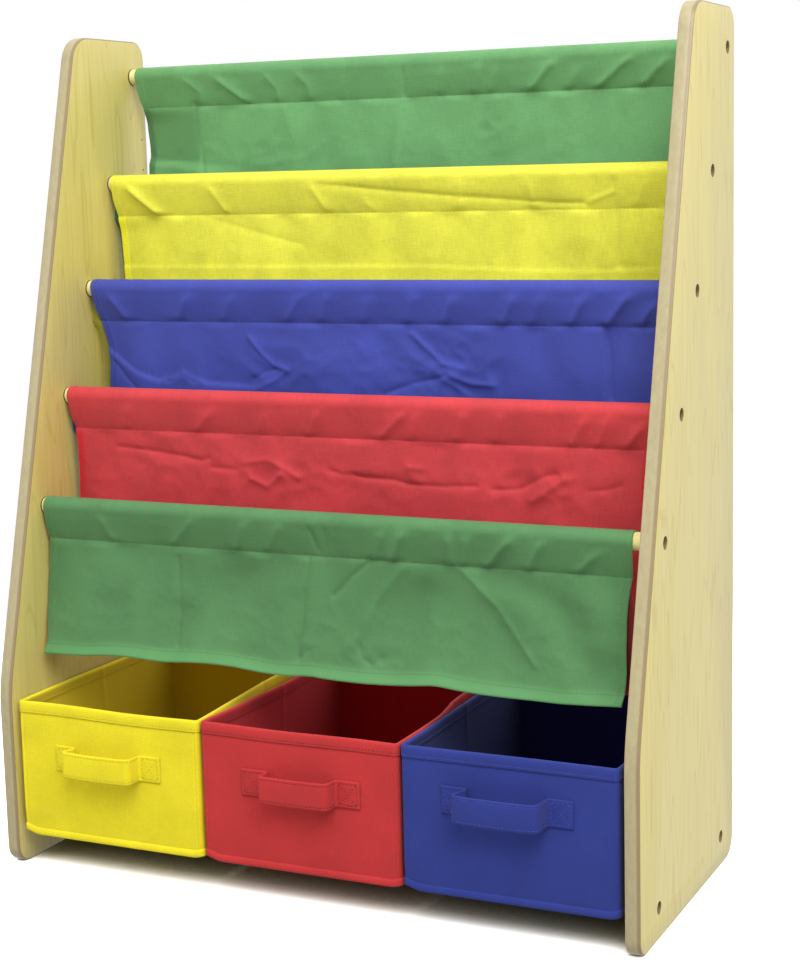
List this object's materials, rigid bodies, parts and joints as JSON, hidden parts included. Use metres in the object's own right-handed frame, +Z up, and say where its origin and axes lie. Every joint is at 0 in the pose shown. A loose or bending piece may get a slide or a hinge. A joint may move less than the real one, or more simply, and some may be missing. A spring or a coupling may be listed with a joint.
{
  "type": "sling bookshelf",
  "caption": "Low children's book rack: slanted side panels joined by dowels, coloured cloth pockets slung between them, and pull-out fabric bins with loop handles below.",
  "frame": {"origin": "centre of the overall footprint, on the floor", "axes": "+Z up, +X to the right seen from the front, -Y to the front where the bin handles are"},
  "size_m": [0.64, 0.305, 0.791],
  "materials": {
    "panel_laminate": "satin maple laminate with tan edge band",
    "dowel_wood": "smooth lacquered dowel",
    "screw_metal": "dull brassy zinc",
    "board": "plain grey-brown stiffening board",
    "green_cloth": "plain woven nylon, slight sheen",
    "yellow_cloth": "plain woven nylon, slight sheen",
    "blue_cloth": "plain woven nylon, slight sheen",
    "red_cloth": "plain woven nylon, slight sheen",
    "yellow_bin_cloth": "matt woven cloth, stitched",
    "red_bin_cloth": "matt woven cloth, stitched",
    "blue_bin_cloth": "matt woven cloth, stitched"
  },
  "bodies": {
    "frame": {"left_side_panel": "panel_laminate", "right_side_panel": "panel_laminate", "sling_rod_1": "dowel_wood", "sling_rod_2": "dowel_wood", "sling_rod_3": "dowel_wood", "sling_rod_4": "dowel_wood", "sling_rod_5": "dowel_wood", "bottom_rod_rear": "dowel_wood", "bottom_rod_front": "dowel_wood", "left_screw_sling_rod_1": "screw_metal", "left_screw_sling_rod_2": "screw_metal", "left_screw_sling_rod_3": "screw_metal", "left_screw_sling_rod_4": "screw_metal", "left_screw_sling_rod_5": "screw_metal", "left_screw_bottom_rod_rear": "screw_metal", "left_screw_bottom_rod_front": "screw_metal", "right_screw_sling_rod_1": "screw_metal", "right_screw_sling_rod_2": "screw_metal", "right_screw_sling_rod_3": "screw_metal", "right_screw_sling_rod_4": "screw_metal", "right_screw_sling_rod_5": "screw_metal", "right_screw_bottom_rod_rear": "screw_metal", "right_screw_bottom_rod_front": "screw_metal", "sling_green": "green_cloth", "sling_yellow": "yellow_cloth", "sling_blue": "blue_cloth", "sling_red": "red_cloth", "front_skirt": "green_cloth"},
    "yellow_bin": {"yellow_bin_cover": "yellow_bin_cloth", "yellow_bin_front_board": "board", "yellow_bin_rear_board": "board", "yellow_bin_left_front_board": "board", "yellow_bin_left_rear_board": "board", "yellow_bin_right_front_board": "board", "yellow_bin_right_rear_board": "board", "yellow_bin_base_board": "board", "yellow_bin_handle": "yellow_bin_cloth"},
    "red_bin": {"red_bin_cover": "red_bin_cloth", "red_bin_front_board": "board", "red_bin_rear_board": "board", "red_bin_left_front_board": "board", "red_bin_left_rear_board": "board", "red_bin_right_front_board": "board", "red_bin_right_rear_board": "board", "red_bin_base_board": "board", "red_bin_handle": "red_bin_cloth"},
    "blue_bin": {"blue_bin_cover": "blue_bin_cloth", "blue_bin_front_board": "board", "blue_bin_rear_board": "board", "blue_bin_left_front_board": "board", "blue_bin_left_rear_board": "board", "blue_bin_right_front_board": "board", "blue_bin_right_rear_board": "board", "blue_bin_base_board": "board", "blue_bin_handle": "blue_bin_cloth"}
  },
  "joints": [
    {"name": "yellow_bin_slide", "type": "slide", "parent": "frame", "child": "yellow_bin", "axis": [0, -1, 0], "range_m": [0, 0.28]},
    {"name": "red_bin_slide", "type": "slide", "parent": "frame", "child": "red_bin", "axis": [0, -1, 0], "range_m": [0, 0.28]},
    {"name": "blue_bin_slide", "type": "slide", "parent": "frame", "child": "blue_bin", "axis": [0, -1, 0], "range_m": [0, 0.28]}
  ]
}
